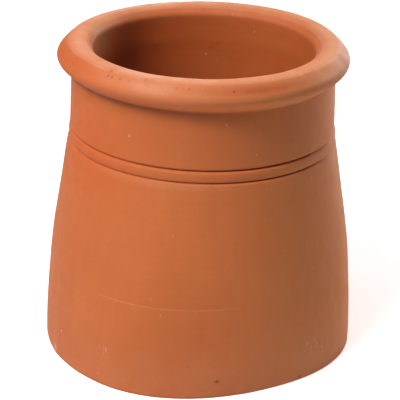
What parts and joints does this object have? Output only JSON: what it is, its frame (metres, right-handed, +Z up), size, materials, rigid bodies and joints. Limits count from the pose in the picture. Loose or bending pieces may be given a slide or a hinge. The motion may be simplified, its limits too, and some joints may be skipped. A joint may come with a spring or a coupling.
{
  "type": "chimney pot",
  "caption": "Round roll-top chimney pot of unglazed terracotta, with a flared bell body, a grooved neck band and a heavy rolled rim, open at both ends.",
  "frame": {"origin": "centre of the foot's flat underside", "axes": "+Z up the flue, towards the rolled rim; -Y is the front as pictured, +X is its right-hand side"},
  "size_m": [0.3006, 0.3028, 0.3],
  "materials": {
    "terracotta": "unglazed fired clay, matt, with fine grain, small pits and a pale bloom"
  },
  "bodies": {
    "root": {"chimney_pot": "terracotta"}
  },
  "joints": []
}
